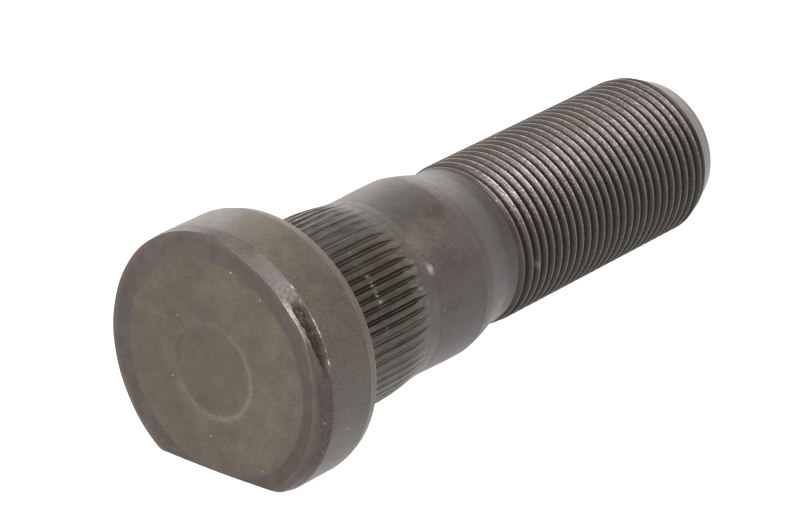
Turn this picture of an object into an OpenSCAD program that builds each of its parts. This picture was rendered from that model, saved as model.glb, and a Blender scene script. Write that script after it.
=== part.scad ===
/* [Head] */
// Diameter of the forged head
head_d = 34.8; // [33:0.2:38]
// Thickness of the head, from its seat to the middle of its face
head_h = 10.3; // [8:0.1:14]
// Distance from the axis to the flat on the head's edge
flat_reach = 14.1; // [13.6:0.1:16]
// Diameter of the level middle of the face
face_d = 28; // [20:0.5:30]
// How far the rim of the face falls back towards the edge
rim_drop = 0.3; // [0.1:0.05:0.6]
// Depth of the front bevel along the axis, on its deep side
bevel_h = 1.7; // [1:0.1:2.5]
// Width of the front bevel across the axis, on its deep side
bevel_w = 1.15; // [0.8:0.05:1.5]
// How far the bevel's centre lies off the axis, so that it is a crescent
bevel_shift = 0.5; // [0.1:0.05:0.6]
// Direction of the bevel's deep side, turned from the left towards the top
bevel_turn = 160; // [0:5:355]
// Length of the bevel at the back edge of the head, along the axis
back_bevel_h = 1.4; // [0.8:0.1:2]
// Width of the bevel at the back edge of the head, across the axis
back_bevel_w = 0.4; // [0.2:0.05:0.8]
// Radius of the hollow corner between the seat and the serrations
seat_fillet = 0.8; // [0.5:0.1:1.5]

/* [Serrations] */
// Diameter over the lands between the grooves
serration_d = 25.6; // [25.2:0.1:26.4]
// Number of grooves round the shank
serration_count = 58; // [48:1:62]
// Turn of the first groove from the middle of the flat
serration_turn = 4.1; // [0:0.1:6]
// Depth of a groove
groove_depth = 0.3; // [0.2:0.05:0.5]
// Width of a groove at the top of the lands
groove_mouth = 0.66; // [0.5:0.02:0.8]
// Width of a groove at its floor
groove_floor = 0.3; // [0.2:0.02:0.4]
// Clear space between the seat and the start of the grooves
groove_start = 1.2; // [1:0.1:3]
// Distance from the seat to where the lands begin to fall
land_l = 12.5; // [8:0.5:16]
// Length over which the lands fall to the plain shank
land_fade = 5.5; // [3:0.5:8]

/* [Shank] */
// Diameter of the plain shank
shank_d = 24.4; // [24.2:0.1:25]
// Length of the plain shank beyond the serrations
shank_l = 9.8; // [5:0.1:20]
// Length of the taper down to the neck
taper_l = 5.4; // [4:0.1:10]
// Diameter of the neck between the taper and the thread
neck_d = 21.2; // [20.8:0.1:21.6]

/* [Thread] */
// Outside diameter of the thread
thread_d = 22; // [21.8:0.1:22.4]
// Distance from one crest to the next
pitch = 1.5; // [1:0.25:2]
// Length of the threaded end, with its run-out and its chamfer
thread_l = 44.8; // [25:0.1:60]
// Length over which the crests rise to their full height
runout_l = 3; // [1.5:0.5:5]
// Length of the chamfer at the tip
tip_chamfer_h = 3.9; // [2:0.1:5]
// Diameter of the flat face at the tip
tip_d = 18.6; // [17:0.1:20]

/* [Hidden] */
$fn = 96;
head_r = head_d / 2;
shank_r = shank_d / 2;
land_r = serration_d / 2;
neck_r = neck_d / 2;
thread_r = thread_d / 2;
// A 60 degree thread form with a crest of pitch / 8 and a root of pitch / 4
crest_w = pitch / 8;
flank_w = pitch * 5 / 16;
root_r = thread_r - flank_w / tan(30);
// Places along the axis, counted from the seat
land_end = land_l + land_fade;
shank_end = land_end + shank_l;
neck_start = shank_end + taper_l;
tip = neck_start + thread_l;
crest_count = floor((thread_l - crest_w) / pitch);
past = 1;

// Turns a shape that was drawn along Z so that it lies along X
module along_x() {
    rotate([0, 90, 0]) children();
}

// Half of the head's section: level face, sloping rim and back bevel
module head_section() {
    polygon([
        [0, -head_h],
        [face_d / 2, -head_h],
        [head_r, -head_h + rim_drop],
        [head_r, -back_bevel_h],
        [head_r - back_bevel_w, 0],
        [0, 0]
    ]);
}

// Cone that cuts the front bevel, wider on one side because it is off centre
module bevel_cone() {
    slope = bevel_w / bevel_h;
    front_r = head_r - bevel_w + bevel_shift - slope * rim_drop;
    translate([-head_h, -bevel_shift * cos(bevel_turn), -bevel_shift * sin(bevel_turn)])
        along_x() cylinder(h = head_h, r1 = front_r, r2 = front_r + slope * head_h);
}

// Forged head with its crescent bevel and the flat that stops it turning
module head() {
    difference() {
        intersection() {
            along_x() rotate_extrude() head_section();
            bevel_cone();
        }
        translate([-head_h - past, -head_d / 2, -flat_reach - head_r])
            cube([head_h + 2 * past, head_d, head_r]);
    }
}

// Half of the hollow corner at the seat, in the same section as the head
module fillet_section() {
    difference() {
        translate([land_r - past, -past]) square(seat_fillet + past);
        translate([land_r + seat_fillet, seat_fillet]) circle(seat_fillet);
    }
}

// Half of the section from the seat to the neck, before the grooves are cut
module shank_section() {
    polygon([
        [0, -past],
        [land_r, -past],
        [land_r, land_l],
        [shank_r, land_end],
        [shank_r, shank_end],
        [neck_r, neck_start],
        [neck_r, neck_start + past],
        [0, neck_start + past]
    ]);
}

// One groove between two lands, running off where the lands fall
module groove() {
    floor_r = land_r - groove_depth;
    top = 2 * groove_depth;
    spread = (groove_mouth - groove_floor) / 2 / groove_depth;
    top_half = groove_floor / 2 + spread * top;
    translate([groove_start, 0, 0]) along_x() linear_extrude(land_end - groove_start)
        polygon([
            [floor_r, -groove_floor / 2],
            [floor_r, groove_floor / 2],
            [floor_r + top, top_half],
            [floor_r + top, -top_half]
        ]);
}

// Serrated collar, plain shank and taper
module shank() {
    difference() {
        along_x() rotate_extrude() {
            shank_section();
            fillet_section();
        }
        for (i = [0:serration_count - 1]) {
            rotate([serration_turn + i * 360 / serration_count, 0, 0]) groove();
        }
    }
}

// Half of the thread's section: a row of crests on the core
module crest_section() {
    tooth_half = crest_w / 2 + flank_w;
    first = neck_start + pitch;
    crests = [for (i = [0:crest_count - 1]) each [
        [root_r, first + i * pitch - tooth_half],
        [thread_r, first + i * pitch - crest_w / 2],
        [thread_r, first + i * pitch + crest_w / 2],
        [root_r, first + i * pitch + tooth_half]
    ]];
    polygon(concat([[0, neck_start]], crests, [[0, tip + pitch]]));
}

// What the run-out and the chamfered tip leave of the crests
module thread_limit() {
    polygon([
        [0, neck_start],
        [neck_r, neck_start],
        [thread_r, neck_start + runout_l],
        [thread_r, tip - tip_chamfer_h],
        [tip_d / 2, tip],
        [0, tip]
    ]);
}

// Threaded end, with its crests standing as rings at the pitch
module threaded_end() {
    along_x() rotate_extrude() {
        intersection() {
            crest_section();
            thread_limit();
        }
        polygon([
            [0, neck_start],
            [neck_r, neck_start],
            [root_r, neck_start + runout_l],
            [0, neck_start + runout_l]
        ]);
    }
}

// The whole stud: one forging with rolled serrations and a rolled thread
module stud() {
    color("#6b655e") union() {
        head();
        shank();
        threaded_end();
    }
}

stud();
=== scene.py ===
import math
import bmesh
import bpy
import numpy as np
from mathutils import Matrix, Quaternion, Vector, noise


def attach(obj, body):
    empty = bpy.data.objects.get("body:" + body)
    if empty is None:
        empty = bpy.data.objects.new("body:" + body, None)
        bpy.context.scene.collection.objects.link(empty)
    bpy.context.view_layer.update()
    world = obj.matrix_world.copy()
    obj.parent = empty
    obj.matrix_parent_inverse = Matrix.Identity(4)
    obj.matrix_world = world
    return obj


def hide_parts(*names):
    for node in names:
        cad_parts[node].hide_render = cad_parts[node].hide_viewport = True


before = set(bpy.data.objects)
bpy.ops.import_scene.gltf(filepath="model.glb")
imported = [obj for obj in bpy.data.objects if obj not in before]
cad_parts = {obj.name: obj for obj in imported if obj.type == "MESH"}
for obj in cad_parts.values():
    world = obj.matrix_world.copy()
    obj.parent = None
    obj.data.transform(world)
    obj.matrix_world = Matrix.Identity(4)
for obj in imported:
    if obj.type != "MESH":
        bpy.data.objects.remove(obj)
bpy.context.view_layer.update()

# Forged head: the hot bar's end was upset into a round disc, so its face is level in the middle, falls
# away at the rim and ends in a bevel that is deep on one side only. One edge is trimmed to a flat that
# stops the stud turning in the hub. Sizes are in millimetres, and x runs from the seat to the threaded tip.
MM = 0.001
HEAD_STEPS = 360
HEAD_R = 17.4
HEAD_H = 10.3
FACE_R = 14.0
RIM_DROP = 0.3
BEVEL_BACK = 1.75
BEVEL_THIN = 0.13
BEVEL_UPPER = 0.88
BEVEL_LOWER = 0.35
BEVEL_TONGUE = 0.2
BACK_BEVEL_H = 1.4
BACK_BEVEL_W = 0.4
FLAT_REACH = 14.1
FLAT_CORNER_SOFT = 0.2
LAND_R = 12.8
SEAT_FILLET = 0.8
ALMOST_NOTHING = 1e-3
NOISE_SMOOTHNESS = 0.8
NOISE_STEP = 2.0
NOISE_LAYERS = 4

points = []
faces = []
surface_values = {"deep": [], "worn_and_lit": [], "oily": [], "shiny": []}


def ring(turns, x, r, deep=0.0, worn_and_lit=0.0, oily=0.0, shiny=0.0):
    """Adds a ring of points round the axis, and returns their numbers and their turns.

    deep is how far the skin is darkened, by its own stains and dirt and in places as painted shade, worn
    how far its coating has gone and how far a painted highlight lightens it, oily how much oil it holds and
    shiny how smooth it is.
    """
    first = len(points)
    x, r = (np.broadcast_to(value, turns.shape) for value in (x, r))
    points.extend(np.stack([x, r * np.cos(turns), r * np.sin(turns)], 1).tolist())
    for name, value in zip(surface_values, (deep, worn_and_lit, oily, shiny)):
        surface_values[name].extend(np.broadcast_to(value, turns.shape).tolist())
    return np.arange(first, first + len(turns)), turns


def skin(back, front):
    """Covers the band between two rings, also where one has more points than the other."""
    (a, turn_a), (b, turn_b) = back, front
    n, m = len(a), len(b)
    if n == m:
        following = np.roll(np.arange(n), -1)
        faces.extend(np.stack([a, a[following], b[following], b], 1).tolist())
        return
    apart = (turn_b - turn_a[0] + math.pi) % math.tau - math.pi
    nearest = int(np.argmin(np.abs(apart)))
    b = np.roll(b, -nearest)
    turn_b = turn_a[0] + apart[nearest] + np.roll((turn_b - turn_b[nearest]) % math.tau, -nearest)
    turn_a = np.append(turn_a, turn_a[0] + math.tau)
    turn_b = np.append(turn_b, turn_b[0] + math.tau)
    i = j = 0
    while i < n or j < m:
        if j == m or (i < n and turn_a[i + 1] <= turn_b[j + 1]):
            faces.append([a[i], a[(i + 1) % n], b[j % m]])
            i += 1
        else:
            faces.append([a[i % n], b[(j + 1) % m], b[j]])
            j += 1


def skin_all(rings):
    """Covers the bands between all the rings of a list, and returns the last ring."""
    for back, front in zip(rings, rings[1:]):
        skin(back, front)
    return rings[-1]


def rise(value, low, high):
    """Rises gently from 0 at low to 1 at high."""
    t = np.clip((value - low) / (high - low), 0, 1)
    return t * t * (3 - 2 * t)


def lobe(turns, middle, reach):
    """1 at the middle turn, falling gently to 0 at the reach either side, all in degrees."""
    away = (np.degrees(turns) - middle + 180) % 360 - 180
    return 0.5 + 0.5 * np.cos(np.clip(away / reach, -1, 1) * math.pi)


def uneven(a, b, size, seed):
    """Soft random unevenness, about -1 to 1, with lumps of a size in millimetres."""
    places = [Vector((p / size, q / size, seed)) for p, q in zip(a, b)]
    return np.array([noise.fractal(place, NOISE_SMOOTHNESS, NOISE_STEP, NOISE_LAYERS) for place in places])


def uneven_around(turns, x, size, seed, mm_a_degree):
    """Unevenness round the axis at a place along it, which meets itself where the turns start again."""
    round_way, along = np.degrees(turns), np.full(turns.shape, float(x))
    here = uneven(round_way * mm_a_degree, along, size, seed)
    next_time = uneven((round_way - 360) * mm_a_degree, along, size, seed)
    return here + (next_time - here) * rise(round_way - round_way[0], 300, 360)


head_turns = np.radians(np.arange(HEAD_STEPS) * 360 / HEAD_STEPS)
head_degrees = np.degrees(head_turns)
BROAD_WAVE = 0.035
MIDDLE_WAVE = 0.025
NARROW_WAVE = 0.012
UPPER_SWELL = 0.3
LOWER_SWELL = 0.18
SIDE_END_WAVE = 0.9
SEAT_WAVE = 0.6
waviness = BROAD_WAVE * np.sin(3 * head_turns + 0.8) + MIDDLE_WAVE * np.sin(7 * head_turns + 2.1)
waviness += NARROW_WAVE * np.sin(17 * head_turns + 0.4)
swell = UPPER_SWELL * lobe(head_turns, middle=66, reach=60)
swell += LOWER_SWELL * lobe(head_turns, middle=318, reach=35)
waviness += swell


def trimmed(r):
    """A ring's radius cut short by the flat, with the flat's two corners worn round."""
    flat_r = FLAT_REACH / np.maximum(-np.sin(head_turns), ALMOST_NOTHING)
    return (r + flat_r - np.sqrt((r - flat_r) ** 2 + FLAT_CORNER_SOFT ** 2)) / 2


OIL_R = 14.3
OIL_SHORT_SIDE = 1.3
OIL_UNEVEN = 0.9
OIL_EDGE_INSIDE = 1.3
OIL_EDGE_OUTSIDE = 0.9


def oil_on_face(r, y, z):
    """Oil on the middle of the face, out to a soft uneven edge that lies further in on one side."""
    edge = OIL_R - OIL_SHORT_SIDE * lobe(head_turns, middle=185, reach=80)
    edge = edge + OIL_UNEVEN * uneven(y, z, size=4.0, seed=8.0)
    return 1 - rise(r, edge - OIL_EDGE_INSIDE, edge + OIL_EDGE_OUTSIDE)


DISH_R = 6.3
DISH_Y = 0.4
DISH_Z = -0.5
DISH_SINK = 0.12
LIP_PROUD = 0.12
LIP_WIDTH = 0.42
LIP_LEAST = 0.25
LIP_MORE = 0.75
LIP_WORN = 0.05
FACE_LUMPS = 0.03
FACE_DEEP = 0.62
FACE_LIGHT_SIDE = 0.12
FACE_MOTTLED = 0.12
DISH_DEEP = 0.07


def face_ring(r):
    """A ring of the level face: a shallow round dish in its middle, and the forging's unevenness."""
    reach = trimmed(np.full(HEAD_STEPS, float(r)))
    y, z = reach * np.cos(head_turns), reach * np.sin(head_turns)
    from_dish = np.hypot(y - DISH_Y, z - DISH_Z) - DISH_R
    round_dish = np.arctan2(z - DISH_Z, y - DISH_Y)
    lip_strength = LIP_LEAST + LIP_MORE * lobe(round_dish, middle=215, reach=120)
    lip = lip_strength * np.exp(-(from_dish / LIP_WIDTH) ** 2)
    proud = LIP_PROUD * lip - DISH_SINK * (1 - rise(from_dish, -0.5, 0.2))
    lumps = uneven(y, z, size=3.0, seed=3.0)
    # Painted light: the face is lightened towards -y.
    shade = FACE_DEEP - FACE_LIGHT_SIDE * rise(-y, -8, 12) + FACE_MOTTLED * lumps
    shade += DISH_DEEP * (1 - rise(from_dish, -1.5, 0.5))
    return ring(head_turns, -HEAD_H - proud - FACE_LUMPS * lumps, reach, shade,
                worn_and_lit=LIP_WORN * lip, oily=oil_on_face(reach, y, z))


def all_round(place):
    """A place of the section, a pair of x and radius, given at every turn of the head."""
    return np.array([np.broadcast_to(value, head_turns.shape) for value in place])


def between(a, b, shares):
    """Places on the straight part of the section from a to b."""
    a, b = all_round(a), all_round(b)
    return [a + (b - a) * share for share in shares]


def eased_corner(before, corner, after, ease, steps):
    """Places along a rounded corner of the section."""
    before, corner, after = all_round(before), all_round(corner), all_round(after)
    back, on = before - corner, after - corner
    start = corner + back * np.minimum(ease / np.hypot(*back), 0.5)
    end = corner + on * np.minimum(ease / np.hypot(*on), 0.5)
    return [start * (1 - t) ** 2 + corner * 2 * t * (1 - t) + end * t ** 2 for t in np.linspace(0, 1, steps)]


bevel_width = BEVEL_UPPER * rise(head_degrees, 82, 115) + BEVEL_LOWER * rise(head_degrees, 150, 172)
bevel_width += BEVEL_TONGUE * lobe(head_turns, middle=137, reach=10)
bevel_inset = BEVEL_THIN + bevel_width * (1 - rise(head_degrees, 180, 262))
rim_start = (-HEAD_H, FACE_R)
bevel_front = (-HEAD_H + RIM_DROP, HEAD_R - bevel_inset + waviness)
bevel_rear = (-HEAD_H + RIM_DROP + BEVEL_BACK, HEAD_R + waviness)
side_end = (-BACK_BEVEL_H, HEAD_R + waviness * SIDE_END_WAVE)
seat_edge = (0.0, HEAD_R - BACK_BEVEL_W + waviness * SEAT_WAVE)
seat_foot = (0.0, LAND_R + SEAT_FILLET)

CENTRE_DEEP = 0.66
centre = ring(np.zeros(1), -HEAD_H + DISH_SINK, 0.0, deep=CENTRE_DEEP, oily=1.0)
inside_dish = np.linspace(0.8, 4.9, 5)
over_lip = np.linspace(5.3, 7.5, 12)
outside_lip = np.linspace(8.2, FACE_R, 10)
face_rings = [face_ring(r) for r in np.concatenate([inside_dish, over_lip, outside_lip])]
innermost = face_rings[0][0]
for i in range(HEAD_STEPS):
    faces.append([centre[0][0], innermost[(i + 1) % HEAD_STEPS], innermost[i]])
last = skin_all(face_rings)

# Marks and painted light on the head's edge. The values for deep, light, dark and mottled change the skin's
# shade, some as painted light and shade; worn says how far it is rubbed, and highlight and glint values
# paint highlights.
HEAD_MM_A_DEGREE = 0.3
RIM_DEEP = 0.8
RIM_LIGHT_TOP = 0.18
RIM_DARK_SIDE = 0.06
RIM_MOTTLED = 0.15
RIM_CORNER_DEEP = 0.45
FACET_DEEP = 0.15
FACET_LOWER_DEEP = 0.4
FACET_HIGHLIGHT = 0.01
FACET_HIGHLIGHT_TOP = 0.03
FACET_HIGHLIGHT_LOWER = 0.07
TONGUE_WORN = 0.18
TONGUE_WORN_MIDDLE = 0.22
FLECKS_DEEP = 0.5
BRIGHT_SPECKS = 0.3
SCOOP_DEEP = 0.92
SCOOP_MOTTLED = 0.5
SCOOP_DEPTH = 0.4
SCOOP_FRONT_SHARE = 0.45
SCOOP_DEEPENS = 0.95
SCOOP_RAGGED = 0.2
SCOOP_PITTED = 0.3
SCOOP_LIP = 0.22
SCOOP_LIP_LOWER = 0.3
SCOOP_LIP_RAGGED = 0.1
SCOOP_WALL = 0.14
BURR_PROUD = 0.07
BURR_WORN = 0.7
BEVEL_GLINTS = 0.8
BEVEL_EDGE_WORN = 0.04
FRONT_EASE = 0.05
FRONT_EASE_LOWER = 0.6
FACET_END = 0.93
BEVEL_EASE = 0.14
front_ease = FRONT_EASE + FRONT_EASE_LOWER * lobe(head_turns, middle=215, reach=75)
corner_share = np.minimum(front_ease / np.hypot(BEVEL_BACK, bevel_inset), 0.5)
scoop_reach = rise(head_degrees, 135, 140) * (1 - rise(head_degrees, 158, 172))
# Painted highlight on the bevel's upper facet, with a little wear.
facet_wear_and_highlight = FACET_HIGHLIGHT + FACET_HIGHLIGHT_TOP * lobe(head_turns, middle=98, reach=12)
facet_wear_and_highlight += FACET_HIGHLIGHT_LOWER * lobe(head_turns, middle=134, reach=14)
facet_wear_and_highlight = facet_wear_and_highlight * rise(head_degrees, 88, 98) * (1 - rise(head_degrees, 137, 144))
rubbed_tongue = TONGUE_WORN * rise(head_degrees, 128, 135) * (1 - rise(head_degrees, 149, 156))
rubbed_tongue += TONGUE_WORN_MIDDLE * lobe(head_turns, middle=139, reach=7)
ragged = uneven_around(head_turns, 0, size=1.0, seed=5.0, mm_a_degree=HEAD_MM_A_DEGREE)
torn = uneven_around(head_turns, 0, size=0.5, seed=7.0, mm_a_degree=HEAD_MM_A_DEGREE)

# The falling rim, then the front bevel from its front to its back, which is rubbed and carries a painted
# highlight at the top, and has a torn scoop lower down with a thin burr behind it
edge_rings = []
for x, r in between(rim_start, bevel_front, (0.15, 0.3, 0.5, 0.7)):
    y, z = r * np.cos(head_turns), r * np.sin(head_turns)
    # Painted light: the rim is lightened at its top.
    shade = RIM_DEEP - RIM_LIGHT_TOP * lobe(head_turns, middle=75, reach=50)
    shade += RIM_DARK_SIDE * lobe(head_turns, middle=120, reach=30)
    shade += RIM_MOTTLED * uneven(y, z, size=1.6, seed=21.0)
    edge_rings.append(ring(head_turns, x, trimmed(r), shade, oily=oil_on_face(r, y, z)))
for step, (x, r) in enumerate(eased_corner(rim_start, bevel_front, bevel_rear, front_ease, 5)):
    bevel_wear_and_highlight = rubbed_tongue * (step > 0) + facet_wear_and_highlight * (step > 3)
    edge_rings.append(ring(head_turns, x, trimmed(r), RIM_CORNER_DEEP * (bevel_wear_and_highlight <= 0.1), bevel_wear_and_highlight))
for t in (0.08, 0.18, 0.28, 0.38, 0.48, 0.58, 0.68, 0.78, 0.88, 0.94, 0.98):
    (x, r), = between(bevel_front, bevel_rear, (corner_share + (FACET_END - corner_share) * t,))
    scoop_lip = SCOOP_LIP + SCOOP_LIP_LOWER * rise(head_degrees, 148, 168) + SCOOP_LIP_RAGGED * ragged
    inside = scoop_reach * rise(t, scoop_lip, scoop_lip + SCOOP_WALL)
    pits = uneven_around(head_turns, t * 2, size=0.45, seed=11.0, mm_a_degree=HEAD_MM_A_DEGREE)
    scoop = SCOOP_DEPTH * inside * (SCOOP_FRONT_SHARE + SCOOP_DEEPENS * t) * (1 - rise(t, 0.94, 1.0))
    scoop = scoop * (1 + SCOOP_RAGGED * ragged + SCOOP_PITTED * pits)
    bevel_wear_and_highlight = np.maximum(facet_wear_and_highlight, rubbed_tongue * (1 - rise(t, 0.2, 0.42))) * (1 - inside)
    bevel_wear_and_highlight = bevel_wear_and_highlight + BRIGHT_SPECKS * (pits < -0.72) * lobe(head_turns, middle=195, reach=30)
    flecks = np.clip(2.4 * pits - 0.5, 0, 1) * lobe(head_turns, middle=200, reach=42)
    shade = FACET_DEEP + FACET_LOWER_DEEP * rise(head_degrees, 160, 175) * (1 - rise(head_degrees, 290, 350))
    shade = shade + FLECKS_DEEP * flecks
    shade = shade * (1 - inside) + inside * (SCOOP_DEEP + SCOOP_MOTTLED * pits)
    edge_rings.append(ring(head_turns, x, trimmed(r - scoop), shade, bevel_wear_and_highlight, inside))
for step, (x, r) in enumerate(eased_corner(bevel_front, bevel_rear, side_end, BEVEL_EASE, 3)):
    torn_up = np.clip(0.1 + 0.7 * lobe(head_turns, middle=149, reach=8) + 0.8 * torn, 0, 1)
    burr = scoop_reach * torn_up * (step == 1)
    # Two painted glints on the back corner of the bevel.
    glints = lobe(head_turns, middle=130.5, reach=2) + lobe(head_turns, middle=164, reach=2)
    glints = BEVEL_GLINTS * glints * (step == 1)
    shade = 0.1 + 0.9 * scoop_reach * (step == 0)
    worn_and_lit = BURR_WORN * burr + glints + BEVEL_EDGE_WORN * (step > 0)
    edge_rings.append(ring(head_turns, x, trimmed(r + BURR_PROUD * burr), shade, worn_and_lit))

# The side of the head, the bevel at its back edge and the seat
SIDE_OILY = 0.55
SIDE_LUMPS = 0.02
SIDE_EASE = 0.2
SEAT_EASE = 0.25
SEAT_DEEP = 0.2
SIDE_LIGHT_LOWER = 0.025
SIDE_LIGHT_UPPER = 0.02
CORNER_HIGHLIGHT = 0.02
CORNER_HIGHLIGHT_LOWER = 0.1
CORNER_HIGHLIGHT_RAGGED = 0.08
BACK_EDGE_HIGHLIGHT = 0.05
BACK_EDGE_HIGHLIGHT_LOWER = 0.13
# Painted light: the head's side is lightened low down and near the top.
side_painted_light = SIDE_LIGHT_LOWER * lobe(head_turns, middle=165, reach=60)
side_painted_light += SIDE_LIGHT_UPPER * lobe(head_turns, middle=60, reach=35)
# Painted highlights on the side's back corner and on the seat's edge.
lit_corner = CORNER_HIGHLIGHT_LOWER + CORNER_HIGHLIGHT_RAGGED * ragged
lit_corner = CORNER_HIGHLIGHT + lit_corner * lobe(head_turns, middle=190, reach=60)
lit_edge = BACK_EDGE_HIGHLIGHT + BACK_EDGE_HIGHLIGHT_LOWER * lobe(head_turns, middle=140, reach=55)
for x, r in between(bevel_rear, side_end, (0.12, 0.3, 0.5, 0.7, 0.88)):
    lumps = uneven_around(head_turns, x[0], size=5.0, seed=2.0, mm_a_degree=HEAD_MM_A_DEGREE)
    edge_rings.append(ring(head_turns, x, trimmed(r + SIDE_LUMPS * lumps), 0.0, side_painted_light, SIDE_OILY))
for step, (x, r) in enumerate(eased_corner(bevel_rear, side_end, seat_edge, SIDE_EASE, 4)):
    edge_rings.append(ring(head_turns, x, trimmed(r), 0.0, lit_corner * (0 < step < 3), SIDE_OILY))
for x, r in between(side_end, seat_edge, (0.35, 0.7)):
    edge_rings.append(ring(head_turns, x, trimmed(r), 0.0, 0.0, SIDE_OILY))
for step, (x, r) in enumerate(eased_corner(side_end, seat_edge, seat_foot, SEAT_EASE, 4)):
    edge_rings.append(ring(head_turns, x, trimmed(r), 0.0, lit_edge * (step > 0), SIDE_OILY))
for x, r in between(seat_edge, seat_foot, (0.3, 0.6)):
    edge_rings.append(ring(head_turns, x, trimmed(r), SEAT_DEEP, 0.0, SIDE_OILY))
skin(last, edge_rings[0])
last = skin_all(edge_rings)

# Serrated collar: 58 grooves were rolled into the shank, which raised the lands between them above it.
# Each groove has a sharp slot at the foot of both walls. The lands bite into the wall of the hub's bore
# when the stud is pressed in, and the grooves close to a point where the lands fall to the plain shank.
GROOVES = 58
FIRST_GROOVE = -85.9
GROOVE_MOUTH = 0.66
WIDE_SLOT_FOOT = 0.29
WIDE_SLOT_INSIDE = 0.07
FLOOR_EDGE = 0.01
FLOOR_FAR_EDGE = 0.14
THIN_SLOT_INSIDE = 0.2
THIN_SLOT_FOOT = 0.29
FLOOR_DEPTH = 0.12
SLOT_DEPTH = 0.3
GROOVE_START = 1.2
LAND_END = 12.5
LAND_CROWN = 0.03
CLOSING_START = 12.6
CLOSING_END = 15.8
WAIST_R = 12.1
WAIST_PLACE = 18.9
POINTS_A_GROOVE = 12

# One groove and its land: where their points lie, how deep each is cut, and its dirt and painted shade
groove_step = 360 / GROOVES
across_groove = np.degrees(np.array([
    -GROOVE_MOUTH / 2, -WIDE_SLOT_FOOT, -WIDE_SLOT_INSIDE, -FLOOR_EDGE,
    FLOOR_FAR_EDGE, THIN_SLOT_INSIDE, THIN_SLOT_FOOT, GROOVE_MOUTH / 2]) / LAND_R)
land_half = groove_step / 2 - across_groove[-1]
across_land = groove_step / 2 + land_half * np.array([-0.75, -0.25, 0.25, 0.75])
from_middle = np.tile(np.concatenate([across_groove, across_land]), GROOVES)
groove_middles = np.repeat(FIRST_GROOVE + groove_step * np.arange(GROOVES), POINTS_A_GROOVE)
groove_numbers = np.repeat(np.arange(GROOVES), POINTS_A_GROOVE)
in_groove = np.tile([1.0] * 8 + [0.0] * 4, GROOVES)
on_land = np.tile([0.0] * 8 + [0.6, 1, 1, 0.6], GROOVES)
wide_slot = [0, SLOT_DEPTH, SLOT_DEPTH]
thin_slot = [SLOT_DEPTH, SLOT_DEPTH, 0]
groove_depths = np.tile(wide_slot + [FLOOR_DEPTH, FLOOR_DEPTH] + thin_slot + [0] * 4, GROOVES)
groove_dirt_and_shade = np.tile([0.45, 1, 1, 0.5, 0.25, 0.6, 0.6, 0.2, 0, 0, 0, 0.1], GROOVES)
wide_edge_moves = np.tile([0] * 2 + [1.0] * 2 + [0] * 8, GROOVES)
thin_edge_moves = np.tile([0] * 4 + [1.0] * 2 + [0] * 6, GROOVES)

# No two grooves are quite alike: the slots' inner edges, the depth and the run-out differ
WIDE_EDGE_MOVE = 0.38
WIDE_EDGE_SHIFT = 0.12
THIN_EDGE_MOVE = 0.22
USUAL_FORCE = 0.9
FORCE_SPREAD = 0.25
CLOSING_WAVE = 0.5
CLOSING_RAGGED = 0.3
from_middle += wide_edge_moves * (WIDE_EDGE_MOVE * np.sin(groove_numbers * 3.7) - WIDE_EDGE_SHIFT)
from_middle += thin_edge_moves * THIN_EDGE_MOVE * np.sin(groove_numbers * 4.3 + 2)
groove_force = USUAL_FORCE + FORCE_SPREAD * np.sin(groove_numbers * 1.9 + 0.5)
closing_ends = CLOSING_END + CLOSING_WAVE * np.sin(groove_numbers * 2.4)
closing_ends += CLOSING_RAGGED * np.sin(groove_numbers * 5.1 + 1)

SHANK_MM_A_DEGREE = 0.21
SHANK_DEEP = 0.08
SHANK_CLOUDY = 0.2
STROKES_DEEP = 0.2
UNDERSIDE_DEEP = 0.12
PATCH_DEEP = 0.46
PATCH_MOTTLED = 0.1
PATCH_CLOUDY = 0.15
PATCH_OILY = 0.6
PATCH_START = 14.0
PATCH_FULL = 17.5
PATCH_END = 26.1
PATCH_SHORTER = 1.6
PATCH_LONGER = 0.8
PATCH_RAGGED = 0.2
PATCH_FADE = 3
PAINTED_LIGHTER = 0.09
LIGHTER_TURN = 95
LIGHTER_REACH = 40
GREEN_LIGHTER = 0.12
GREEN_WORN = 0.05
GREEN_OILY = 0.5
GREEN_X = 18.7
GREEN_WIDTH = 1.6
GREEN_TURN = 134
SCUFF_WORN = 0.6
SCUFF_X = 17.9
SCUFF_WIDTH = 0.7
SCUFF_TURN = 150
FRONT_LIGHTER = 0.04
FRONT_HIGHLIGHT = 0.035


def shank_cloud(turns, x):
    """Broad cloudiness of the coating on the shank and its taper."""
    return uneven_around(turns, x, size=3.5, seed=13.0, mm_a_degree=SHANK_MM_A_DEGREE)


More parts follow.
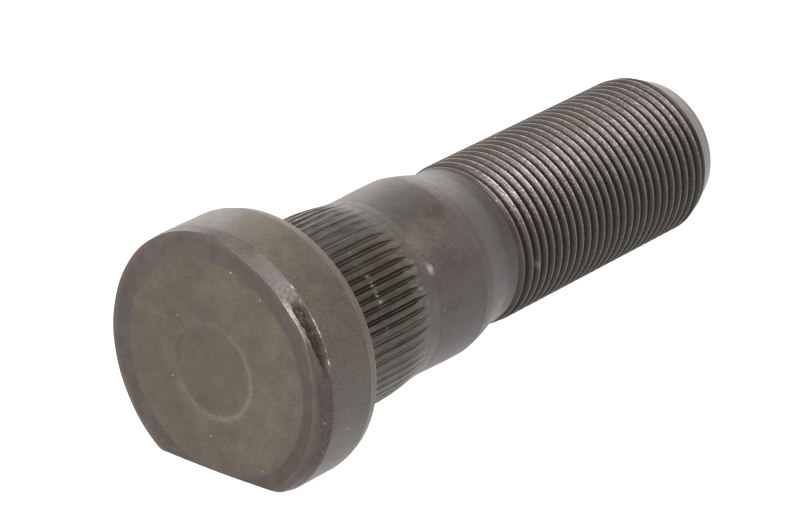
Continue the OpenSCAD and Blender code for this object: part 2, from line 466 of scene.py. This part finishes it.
def shank_surface(turns, x):
    """Shade, wear, painted light and shade, and oil of the plain shank, which also show under the run-out of
    the grooves.
    """
    around = (np.degrees(turns) + 360) % 360
    lumps = uneven_around(turns, x, size=0.8, seed=9.0, mm_a_degree=SHANK_MM_A_DEGREE)
    cloud = shank_cloud(turns, x)
    strokes = STROKES_DEEP * np.clip(2.2 * lumps - 0.4, 0, 1) * lobe(turns, middle=95, reach=45)
    scuff = math.exp(-((x - SCUFF_X) / SCUFF_WIDTH) ** 2) * lobe(turns, SCUFF_TURN, 6)
    scuff = scuff * np.clip(0.3 + 3 * lumps, 0, 1)
    edge = PATCH_END - PATCH_SHORTER * rise(around, 114, 134)
    edge = edge + PATCH_LONGER * (1 - rise(around, 78, 94)) + PATCH_RAGGED * lumps
    dark_patch = rise(around, 66, 82) * (1 - rise(around, 122, 140)) * rise(x, PATCH_START, PATCH_FULL)
    dark_patch = dark_patch * (1 - rise(x, edge - 0.1, edge + 0.2))
    dark_patch = dark_patch * (0.5 + 0.5 * np.exp(-((edge - x) / PATCH_FADE) ** 2))
    # Painted light on the top of the shank beyond the dark patch.
    lighter_end = rise(x, edge, edge + 0.3) * lobe(turns, LIGHTER_TURN, LIGHTER_REACH)
    green = math.exp(-((x - GREEN_X) / GREEN_WIDTH) ** 2) * lobe(turns, GREEN_TURN, 14)
    front = lobe(turns, middle=138, reach=22)
    shade = SHANK_DEEP + dark_patch * (PATCH_DEEP + PATCH_MOTTLED * lumps + PATCH_CLOUDY * cloud)
    shade = shade + SHANK_CLOUDY * cloud - GREEN_LIGHTER * green + strokes
    # Painted shade darkens the underside, and painted light lightens the front.
    shade += UNDERSIDE_DEEP * rise(around, 165, 210) * (1 - rise(around, 290, 345)) - FRONT_LIGHTER * front
    worn_and_lit = SCUFF_WORN * scuff + GREEN_WORN * green + PAINTED_LIGHTER * lighter_end + FRONT_HIGHLIGHT * front
    return shade, worn_and_lit, GREEN_OILY * green + PATCH_OILY * dark_patch


COLLAR_MM_A_DEGREE = 0.22
COLLAR_DEEP = 0.46
COLLAR_UPPER_DEEP = 0.34
COLLAR_FRONT_DEEP = 0.12
COLLAR_MOTTLED = 0.1
COLLAR_STREAKED = 0.42
COLLAR_OILY = 1.0
ROW_GLINT = 0.6
ENDS_GLINT = 0.3
ENDS_FROM = (12.4, 13.6)
ENDS_UNTIL = (15.2, 16.2)
COLLAR_FRONT_TURN = 150
DIRT_AND_SHADE_REACH = 42
LEAST_DIRT_AND_SHADE = 0.12
MORE_DIRT_AND_SHADE = 0.88
DEPTH_REACH = 50
LEAST_DEPTH = 0.2
MORE_DEPTH = 0.8
UPPER_DEPTH = 0.4
GLINT_PLACE = 7.3
GLINT_WIDTH = 0.28
GLINT_MIDDLE = 146
GLINT_REACH = 34


def collar_ring(x, land_r):
    """A ring of the collar: its grooves start beyond the seat, and close where the lands fall."""
    started = rise(x, GROOVE_START - 0.4, GROOVE_START + 0.1)
    closed = rise(x, CLOSING_START, closing_ends)
    turns = np.radians(groove_middles + from_middle * (1 - 0.9 * closed * in_groove))
    depth_share = LEAST_DEPTH + MORE_DEPTH * lobe(turns, COLLAR_FRONT_TURN, DEPTH_REACH)
    depth_share += UPPER_DEPTH * lobe(turns, middle=60, reach=28)
    cut = groove_depths * started * (1 - closed) * (groove_force * depth_share)
    crown = LAND_CROWN * on_land * started * (1 - closed)
    # The slots are darkened by dirt and by painted shade, most on the side towards the front.
    dirt_and_shade_share = LEAST_DIRT_AND_SHADE + MORE_DIRT_AND_SHADE * lobe(turns, COLLAR_FRONT_TURN, DIRT_AND_SHADE_REACH)
    slot_dirt_and_shade = groove_dirt_and_shade * started * groove_force * dirt_and_shade_share
    lumps = uneven_around(turns, x, size=0.7, seed=4.0, mm_a_degree=COLLAR_MM_A_DEGREE)
    streaks = uneven_around(turns, x * 0.12, size=0.35, seed=12.0, mm_a_degree=COLLAR_MM_A_DEGREE)
    # Painted shade darkens the lands on top and towards the front.
    shade = COLLAR_DEEP + COLLAR_UPPER_DEEP * lobe(turns, middle=80, reach=60)
    shade += COLLAR_FRONT_DEEP * lobe(turns, middle=150, reach=50)
    shade = shade + COLLAR_MOTTLED * lumps + COLLAR_STREAKED * streaks
    # Painted glints: a row across the lands, and streaks near the ends of the grooves.
    row = math.exp(-((x - GLINT_PLACE) / GLINT_WIDTH) ** 2) * lobe(turns, GLINT_MIDDLE, GLINT_REACH)
    ends = 0.6 * rise(x, *ENDS_FROM) * (1 - rise(x, *ENDS_UNTIL))
    ends = ends * (0.4 + 0.6 * lobe(turns, middle=150, reach=40) + 0.7 * lobe(turns, middle=80, reach=35))
    glints = ROW_GLINT * row * np.clip(lumps * 3, 0, 1) + ENDS_GLINT * ends * np.clip(streaks * 2.5, 0, 1)
    fading = rise(x, CLOSING_START + 1.0, CLOSING_END + 1.5)
    shank_shade, shank_worn_and_lit, shank_oily = shank_surface(turns, x)
    return ring(turns, x, land_r - cut + crown, (shade + slot_dirt_and_shade) * (1 - fading) + shank_shade * fading,
                glints + shank_worn_and_lit * fading, COLLAR_OILY * (1 - fading) + shank_oily * fading)


collar = []
for t in (0.0, 0.35, 0.65, 1.0):
    x = SEAT_FILLET * (1 - math.cos(t * math.pi / 2))
    collar.append(collar_ring(x, LAND_R + SEAT_FILLET * (1 - math.sin(t * math.pi / 2))))
for x in (0.95, 1.1, 1.3, 2.6, 4.2, 5.6, 6.6, 7.0, 7.3, 7.6, 8.0, 9.0, 10.0, 11.0):
    collar.append(collar_ring(x, LAND_R))
for x in (12.0, 12.8, 13.3, 13.8, 14.2, 14.6, 15.0, 15.4, 15.8, 16.3, 17.3):
    collar.append(collar_ring(x, LAND_R + (WAIST_R - LAND_R) * rise(x, LAND_END - 1.7, WAIST_PLACE)))
skin(last, collar[0])
last = skin_all(collar)

# Plain shank and taper: a smooth turned band that the drum or wheel centres on, then a cone down to the
# neck, which has the diameter that the bar had before the thread was rolled.
SHANK_STEPS = 240
SHANK_R = 12.22
SWELL_END = 25.0
SHANK_END = 27.8
NECK_START = 33.2
NECK_R = 10.6
SHANK_CORNER_SOFT = 0.3
NECK_CORNER_SOFT = 0.12
TAPER_DEEP = 0.2
shank_turns = np.radians(np.arange(SHANK_STEPS) * 360 / SHANK_STEPS)
shank_rings = []
for x in np.linspace(17.7, 27.0, 32):
    shank_r = WAIST_R + (SHANK_R - WAIST_R) * rise(x, WAIST_PLACE, SWELL_END)
    shank_rings.append(ring(shank_turns, x, shank_r, *shank_surface(shank_turns, x)))
for x in (27.4, 27.8, 28.3, 28.9, 29.8, 31.0, 32.0, 32.6, 33.0, 33.4, 33.9):
    cone_r = SHANK_R - (SHANK_R - NECK_R) * (x - SHANK_END) / (NECK_START - SHANK_END)
    cone_r = (cone_r + SHANK_R - math.hypot(cone_r - SHANK_R, SHANK_CORNER_SOFT)) / 2
    cone_r = (cone_r + NECK_R + math.hypot(cone_r - NECK_R, NECK_CORNER_SOFT)) / 2
    shade = SHANK_DEEP + TAPER_DEEP + SHANK_CLOUDY * shank_cloud(shank_turns, x)
    # Painted light on the top of the taper, fading out towards the neck.
    worn_and_lit = PAINTED_LIGHTER * lobe(shank_turns, LIGHTER_TURN, LIGHTER_REACH) * (1 - rise(x, 28, 32))
    shank_rings.append(ring(shank_turns, x, cone_r, shade, worn_and_lit))
skin(last, shank_rings[0])
last = skin_all(shank_rings)

# Rolled thread: M22 x 1.5, right-handed. It was rolled between dies, so its first crests rise out of the
# neck over two turns, and its grooves run out where the bar's end had been turned to a smooth chamfer.
THREAD_STEPS = 160
THREAD_R = 11.0
PITCH = 1.5
THREAD_START = 34.4
RUNOUT = 3.1
TIP = 78.0
TIP_R = 9.3
TIP_CHAMFER = 3.9
GROOVE_PLACE = 0.12
LAST_GROOVE = 74.2
GROOVE_GONE = 75.1
CREST_HALF = 1 / 16
ROOT_HALF = 1 / 8
CORNER_SHARE = 0.02
CORNER_DROP = 0.02
LEAST_RISE = 0.03
THREAD_DEPTH = PITCH * 5 / 16 / math.tan(math.radians(30))
crest_edge = 0.5 - CREST_HALF
flank_middle = (crest_edge + ROOT_HALF) / 2
up_the_flank = [0.0, ROOT_HALF, flank_middle, crest_edge - CORNER_SHARE, crest_edge + CORNER_SHARE]
across_thread = up_the_flank + [1 - share for share in up_the_flank[:0:-1]]


def crest_share(share):
    """Height of the thread at a place across one pitch: 0 at the root, 1 at the crest."""
    up = (0.5 - abs(share - 0.5) - ROOT_HALF) / (crest_edge - ROOT_HALF)
    dropped = CORNER_DROP * (abs(share - 0.5) > CREST_HALF and up > 0.9)
    return min(max(up, LEAST_RISE if share else 0.0), 1.0) - dropped


THREAD_MM_A_DEGREE = 0.27
THREAD_DEEP = 0.22
GROOVE_DEEP = 0.85
UNDERSIDE_START_DEEP = 0.18
UNDERSIDE_STEP_DEEP = 0.28
THREAD_TOP_DEEP = 0.28
THREAD_OILY = 0.1
THREAD_SHINY = 1.0
CREST_WORN = 0.34
CREST_WORN_UNEVEN = 0.2
CREST_WORN_LEAST = 0.3
CREST_HIGHLIGHT_MORE = 0.8
FIRST_CRESTS_HIGHLIGHT = 0.28
KNOCK_WORN = 0.6
NICK_WORN = 0.2
KNOCK_X = 38.1
KNOCK_WIDTH = 0.8
NICK_X = 38.9
NICK_WIDTH = 0.5
thread_turns = np.radians(np.arange(THREAD_STEPS) * 360 / THREAD_STEPS)
thread_degrees = np.degrees(thread_turns)
rolled = uneven_around(thread_turns, 0, size=3.0, seed=6.0, mm_a_degree=THREAD_MM_A_DEGREE)
# The crests are worn bright all round, with a painted highlight added round turn 122.
crest_wear_and_highlight = CREST_WORN + CREST_WORN_UNEVEN * rolled
crest_wear_and_highlight *= CREST_WORN_LEAST + CREST_HIGHLIGHT_MORE * lobe(thread_turns, middle=122, reach=62)
# Painted shade: the thread is darkened on its underside and, a little, near its top.
underside = UNDERSIDE_START_DEEP * rise(thread_degrees, 145, 205)
underside += UNDERSIDE_STEP_DEEP * rise(thread_degrees, 198, 225)
thread_shade = THREAD_DEEP + underside * (1 - rise(thread_degrees, 290, 350))
thread_shade += THREAD_TOP_DEEP * rise(thread_degrees, 10, 50) * (1 - rise(thread_degrees, 72, 102))

thread_rows = []
for turn in range(int(THREAD_START / PITCH) - 3, int(TIP / PITCH) + 3):
    for share in across_thread:
        x = GROOVE_PLACE + PITCH * (turn + share + thread_turns / math.tau)
        if x[0] < THREAD_START - 2 * PITCH or x[0] > TIP + PITCH:
            continue
        x = np.clip(x, THREAD_START, TIP)
        formed = rise(x, THREAD_START, THREAD_START + RUNOUT)
        outside = NECK_R + (THREAD_R - NECK_R) * formed
        chamfer_r = THREAD_R - (THREAD_R - TIP_R) * (x - TIP + TIP_CHAMFER) / TIP_CHAMFER
        outside = np.minimum(outside, chamfer_r)
        cut = THREAD_DEPTH * formed * (1 - rise(x, LAST_GROOVE, GROOVE_GONE)) * (1 - crest_share(share))
        knocked = np.exp(-((x - KNOCK_X) / KNOCK_WIDTH) ** 2) * lobe(thread_turns, middle=131, reach=9)
        knocked = knocked * (0.5 + 0.5 * rolled)
        nick = np.exp(-((x - NICK_X) / NICK_WIDTH) ** 2) * lobe(thread_turns, middle=184, reach=5)
        # Painted highlight on the first crests.
        first_crests_highlight = FIRST_CRESTS_HIGHLIGHT * lobe(thread_turns, middle=124, reach=36)
        first_crests_highlight = first_crests_highlight * (1 - rise(x, 42, 58)) * (1 + rolled)
        worn_and_lit = formed * (crest_share(share) > 0.99) * (crest_wear_and_highlight + first_crests_highlight)
        worn_and_lit = worn_and_lit + KNOCK_WORN * knocked * crest_share(share) + NICK_WORN * nick
        # Painted shade: the grooves darken towards their roots.
        shade = thread_shade + GROOVE_DEEP * (cut / THREAD_DEPTH) ** 0.7
        thread_rows.append(ring(
            thread_turns, x, outside - cut, shade, worn_and_lit, THREAD_OILY, formed * THREAD_SHINY))
skin(last, thread_rows[0])
for i, (back, front) in enumerate(zip(thread_rows, thread_rows[1:])):
    (a, _), (b, _) = back, front
    faces.extend(np.stack([a[:-1], a[1:], b[1:], b[:-1]], 1).tolist())
    one_turn_on = i + len(across_thread)
    if one_turn_on + 1 < len(thread_rows):
        faces.append([a[-1], thread_rows[one_turn_on][0][0], thread_rows[one_turn_on + 1][0][0], b[-1]])
tip_rings = [ring(thread_turns, TIP, r) for r in (TIP_R, 9.0, 7.0, 4.0, 1.5)]
last = skin_all([thread_rows[-1]] + tip_rings)
tip_centre = ring(np.zeros(1), TIP, 0.0)
for i in range(THREAD_STEPS):
    faces.append([last[0][i], last[0][(i + 1) % THREAD_STEPS], tip_centre[0][0]])

# The forging as one closed mesh: the clamped turns at both ends of the thread leave points on top of
# each other, which are merged, and every edge that turns sharply keeps a crisp shade.
CRISP_ANGLE = math.radians(33)
SAME_PLACE = 1e-6
NO_LENGTH = 1e-7
mesh = bpy.data.meshes.new("stud_forging")
mesh.from_pydata((np.array(points) * MM).tolist(), [], faces)
for name, values in surface_values.items():
    mesh.attributes.new(name, "FLOAT", "POINT").data.foreach_set("value", values)
shape = bmesh.new()
shape.from_mesh(mesh)
bmesh.ops.remove_doubles(shape, verts=shape.verts, dist=SAME_PLACE)
bmesh.ops.dissolve_degenerate(shape, edges=shape.edges, dist=NO_LENGTH)
for face in shape.faces:
    face.smooth = True
for edge in shape.edges:
    edge.smooth = len(edge.link_faces) == 2 and edge.calc_face_angle() < CRISP_ANGLE
shape.to_mesh(mesh)
shape.free()
stud = bpy.data.objects.new("stud_forging", mesh)
bpy.context.scene.collection.objects.link(stud)
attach(stud, "root")
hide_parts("stud")


# Phosphated steel: carbon steel dipped in hot phosphate and oiled, which leaves a matt skin of fine grey
# crystals over the forging. It shows as a dull grey-brown, a little greener where the oil lies, nearly black
# in the grooves from dirt and painted shade, and bright on rubbed edges and thread crests and in painted
# highlights.
def srgb(code):
    """A colour for a socket from its sRGB hex value."""
    parts = [int(code[i:i + 2], 16) / 255 for i in (1, 3, 5)]
    return [*(c / 12.92 if c <= 0.04045 else ((c + 0.055) / 1.055) ** 2.4 for c in parts), 1.0]


def add_node(tree, kind, inputs=(), **settings):
    """Adds a node, sets it up and fills its inputs with values or with links from other nodes."""
    made = tree.nodes.new(kind)
    for name, value in settings.items():
        setattr(made, name, value)
    for name, value in dict(inputs).items():
        if isinstance(value, bpy.types.NodeSocket):
            tree.links.new(value, made.inputs[name])
        else:
            made.inputs[name].default_value = value
    return made


DRY_TONE = srgb("#423a37")
OILY_TONE = srgb("#4b4231")
DARK_TONE = srgb("#1c1208")
DIRT_AND_SHADE_TONE = srgb("#231808")
BARE_AND_HIGHLIGHT_TONE = srgb("#b2a9a4")
SPECK_TONE = srgb("#b9b2a8")
BLOTCH_MM = 9
MOTTLE_MM = 1.8
SPECK_MM = 1.7
# The crystals are a few hundredths of a millimetre across, too fine to show in the render, so their
# grain is drawn as coarse as it needs to be to show.
GRAIN_MM = 0.3
GRAIN_HEIGHT = 0.08 * MM
DENT_HEIGHT = 0.06 * MM
PER_MM = 1 / MM
steel = bpy.data.materials.new("phosphated_steel")
steel.use_nodes = True
tree = steel.node_tree
tree.nodes.clear()
deep = add_node(tree, "ShaderNodeAttribute", attribute_name="deep")
worn_and_lit = add_node(tree, "ShaderNodeAttribute", attribute_name="worn_and_lit")
oily = add_node(tree, "ShaderNodeAttribute", attribute_name="oily")
shiny = add_node(tree, "ShaderNodeAttribute", attribute_name="shiny")
place = add_node(tree, "ShaderNodeTexCoord").outputs["Object"]
blotch = add_node(tree, "ShaderNodeTexNoise", {
    "Vector": place, "Scale": PER_MM / BLOTCH_MM, "Detail": 6.0, "Roughness": 0.62})
mottle = add_node(tree, "ShaderNodeTexNoise", {
    "Vector": place, "Scale": PER_MM / MOTTLE_MM, "Detail": 5.0, "Roughness": 0.6})
crystal = add_node(tree, "ShaderNodeTexNoise", {
    "Vector": place, "Scale": PER_MM / GRAIN_MM, "Detail": 2.0, "Roughness": 0.6})
oil_streaks = add_node(tree, "ShaderNodeMapRange", {
    "Value": blotch.outputs["Fac"], "From Min": 0.35, "From Max": 0.65, "To Min": -0.2, "To Max": 0.2})
oil = add_node(tree, "ShaderNodeMath", {
    0: oily.outputs["Fac"], 1: oil_streaks.outputs["Result"]}, operation="ADD", use_clamp=True)
tone = add_node(tree, "ShaderNodeMix", {
    "Factor": oil.outputs["Value"], "A": DRY_TONE, "B": OILY_TONE}, data_type="RGBA")
patchy = add_node(tree, "ShaderNodeMapRange", {
    "Value": mottle.outputs["Fac"], "From Min": 0.3, "From Max": 0.7, "To Min": 0.84, "To Max": 1.16})
grainy = add_node(tree, "ShaderNodeMapRange", {
    "Value": crystal.outputs["Fac"], "From Min": 0.3, "From Max": 0.7, "To Min": 0.8, "To Max": 1.2})
stain = add_node(tree, "ShaderNodeMapRange", {
    "Value": blotch.outputs["Fac"], "From Min": 0.47, "From Max": 0.52, "To Min": 0.86, "To Max": 1.0})
stained = add_node(tree, "ShaderNodeMath", {
    0: patchy.outputs["Result"], 1: stain.outputs["Result"]}, operation="MULTIPLY")
varied = add_node(tree, "ShaderNodeMath", {
    0: stained.outputs["Value"], 1: grainy.outputs["Result"]}, operation="MULTIPLY")
skin_tone = add_node(tree, "ShaderNodeVectorMath", {
    0: tone.outputs["Result"], "Scale": varied.outputs["Value"]}, operation="SCALE")
shaded = add_node(tree, "ShaderNodeMix", {
    "Factor": deep.outputs["Fac"], "A": skin_tone.outputs["Vector"], "B": DARK_TONE}, data_type="RGBA")
# Where deep is greatest, in the grooves, slots and scoop, the tone turns browner and rougher: dirt and
# painted shade.
deepest_dirt_and_shade = add_node(tree, "ShaderNodeMapRange", {
    "Value": deep.outputs["Fac"], "From Min": 0.7, "From Max": 1.1})
dirtied_and_shaded = add_node(tree, "ShaderNodeMix", {
    "Factor": deepest_dirt_and_shade.outputs["Result"], "A": shaded.outputs["Result"], "B": DIRT_AND_SHADE_TONE}, data_type="RGBA")
# The worn value mixes in a pale tone, for bare rubbed steel and for painted highlights.
speckle = add_node(tree, "ShaderNodeMapRange", {
    "Value": crystal.outputs["Fac"], "From Min": 0.35, "From Max": 0.65, "To Min": 0.5, "To Max": 1.5})
bare_and_lit = add_node(tree, "ShaderNodeMath", {
    0: worn_and_lit.outputs["Fac"], 1: speckle.outputs["Result"]}, operation="MULTIPLY", use_clamp=True)
rubbed_and_lit_tone = add_node(tree, "ShaderNodeMix", {
    "Factor": bare_and_lit.outputs["Value"], "A": dirtied_and_shaded.outputs["Result"], "B": BARE_AND_HIGHLIGHT_TONE}, data_type="RGBA")
# A few scattered light specks.
speck_cells = add_node(tree, "ShaderNodeTexVoronoi", {"Vector": place, "Scale": PER_MM / SPECK_MM})
picked = add_node(tree, "ShaderNodeSeparateColor", {"Color": speck_cells.outputs["Color"]})
few = add_node(tree, "ShaderNodeMath", {0: picked.outputs["Red"], 1: 0.975}, operation="GREATER_THAN")
dot = add_node(tree, "ShaderNodeMapRange", {
    "Value": speck_cells.outputs["Distance"], "From Min": 0.03, "From Max": 0.09, "To Min": 0.6, "To Max": 0.0})
speck = add_node(tree, "ShaderNodeMath", {
    0: few.outputs["Value"], 1: dot.outputs["Result"]}, operation="MULTIPLY")
colour = add_node(tree, "ShaderNodeMix", {
    "Factor": speck.outputs["Value"], "A": rubbed_and_lit_tone.outputs["Result"], "B": SPECK_TONE}, data_type="RGBA")
matt = add_node(tree, "ShaderNodeMapRange", {
    "Value": mottle.outputs["Fac"], "From Min": 0.3, "From Max": 0.7, "To Min": 0.34, "To Max": 0.46})
smoothed = add_node(tree, "ShaderNodeMapRange", {
    "Value": shiny.outputs["Fac"], "To Min": matt.outputs["Result"], "To Max": 0.32})
rough = add_node(tree, "ShaderNodeMapRange", {
    "Value": deepest_dirt_and_shade.outputs["Result"], "To Min": smoothed.outputs["Result"], "To Max": 0.8})
grain_strength = add_node(tree, "ShaderNodeMapRange", {
    "Value": shiny.outputs["Fac"], "To Min": 0.3, "To Max": 1.0})
grain = add_node(tree, "ShaderNodeBump", {
    "Height": crystal.outputs["Fac"], "Strength": grain_strength.outputs["Result"],
    "Distance": GRAIN_HEIGHT})
dents = add_node(tree, "ShaderNodeBump", {
    "Height": mottle.outputs["Fac"], "Strength": 0.5, "Distance": DENT_HEIGHT,
    "Normal": grain.outputs["Normal"]})
surface = add_node(tree, "ShaderNodeBsdfPrincipled", {
    "Base Color": colour.outputs["Result"], "Metallic": 0.15,
    "Roughness": rough.outputs["Result"], "Normal": dents.outputs["Normal"]})
add_node(tree, "ShaderNodeOutputMaterial", {"Surface": surface.outputs["BSDF"]})
mesh.materials.append(steel)

# Floor: a plain light table of white acrylic, lit from within, which shows as an even white with hardly
# any shadow. The stud lies on the rear edge of its flat and on the last crests of its thread, so the
# table's top is the plane through both.
FLOOR_HALF = 3000
slope = math.atan2(FLAT_REACH - THREAD_R, TIP - TIP_CHAMFER)
corners = [(-1, -1), (1, -1), (1, 1), (-1, 1)]
table = bpy.data.meshes.new("light_table")
table.from_pydata([(x * FLOOR_HALF * MM, y * FLOOR_HALF * MM, 0) for x, y in corners], [], [(0, 1, 2, 3)])
table_top = bpy.data.objects.new("light_table", table)
table_top.rotation_euler = (0, -slope, 0)
table_top.location = (0, 0, -FLAT_REACH * MM)
bpy.context.scene.collection.objects.link(table_top)
acrylic = bpy.data.materials.new("white_acrylic")
acrylic.use_nodes = True
acrylic.node_tree.nodes.clear()
glow = add_node(acrylic.node_tree, "ShaderNodeBsdfPrincipled", {
    "Base Color": srgb("#5f5f5e"), "Roughness": 0.9, "Specular IOR Level": 0.1,
    "Emission Color": srgb("#ffffff"), "Emission Strength": 1.08})
add_node(acrylic.node_tree, "ShaderNodeOutputMaterial", {"Surface": glow.outputs["BSDF"]})
table.materials.append(acrylic)

# Light: a white tent that is dimmer towards the front, with a soft box above the stud and one to its left.
# The tent fills the shadows, and the boxes give the head's side and the thread's crests their soft shine.
TENT_DIM_SIDE = (-0.35, -0.7, 0.62)
TENT_BRIGHT = 2.1
TENT_DIM = 0.33
STUD_MIDDLE = Vector((30, 0, 0))
tent = bpy.data.worlds.new("white_tent")
tent.use_nodes = True
tent.node_tree.nodes.clear()
direction = add_node(tent.node_tree, "ShaderNodeTexCoord").outputs["Generated"]
dim_side = add_node(tent.node_tree, "ShaderNodeVectorMath", {
    0: direction, 1: TENT_DIM_SIDE}, operation="DOT_PRODUCT")
brightness = add_node(tent.node_tree, "ShaderNodeMapRange", {
    "Value": dim_side.outputs["Value"], "From Min": -0.7, "From Max": 0.9,
    "To Min": TENT_BRIGHT, "To Max": TENT_DIM})
walls = add_node(tent.node_tree, "ShaderNodeBackground", {
    "Color": srgb("#ffffff"), "Strength": brightness.outputs["Result"]})
add_node(tent.node_tree, "ShaderNodeOutputWorld", {"Surface": walls.outputs["Background"]})
bpy.context.scene.world = tent


def soft_box(name, place, width, power, tint):
    """A square soft box at a place in millimetres, turned to the middle of the stud."""
    light = bpy.data.lights.new(name, "AREA")
    light.size = width * MM
    light.energy = power
    light.color = srgb(tint)[:3]
    box = bpy.data.objects.new(name, light)
    box.location = Vector(place) * MM
    box.rotation_mode = "QUATERNION"
    box.rotation_quaternion = (STUD_MIDDLE - Vector(place)).to_track_quat("-Z", "Y")
    bpy.context.scene.collection.objects.link(box)


soft_box("top_box", place=(-70, -220, 560), width=400, power=2.6, tint="#ffffff")
soft_box("left_box", place=(-500, 0, 225), width=300, power=6.6, tint="#fffcf8")

# Camera: where the photograph was taken from, with the lens that its perspective asks for. The places
# are in millimetres, and the roll is the little that the picture is turned.
CAMERA_PLACE = Vector((-341.88, -315.93, 215.99))
CAMERA_AIM = Vector((24.33, 0.0, 1.34))
CAMERA_ROLL = 1.49
LENS = 188.5
SENSOR_WIDTH = 36
eye = bpy.data.cameras.new("camera")
eye.lens = LENS
eye.sensor_width = SENSOR_WIDTH
eye.clip_start = 0.01
eye.clip_end = 20
camera = bpy.data.objects.new("camera", eye)
camera.location = CAMERA_PLACE * MM
camera.rotation_mode = "QUATERNION"
level = (CAMERA_AIM - CAMERA_PLACE).to_track_quat("-Z", "Y")
camera.rotation_quaternion = level @ Quaternion((0, 0, 1), -math.radians(CAMERA_ROLL))
bpy.context.scene.collection.objects.link(camera)
bpy.context.scene.camera = camera
bpy.context.scene.view_settings.view_transform = "Standard"
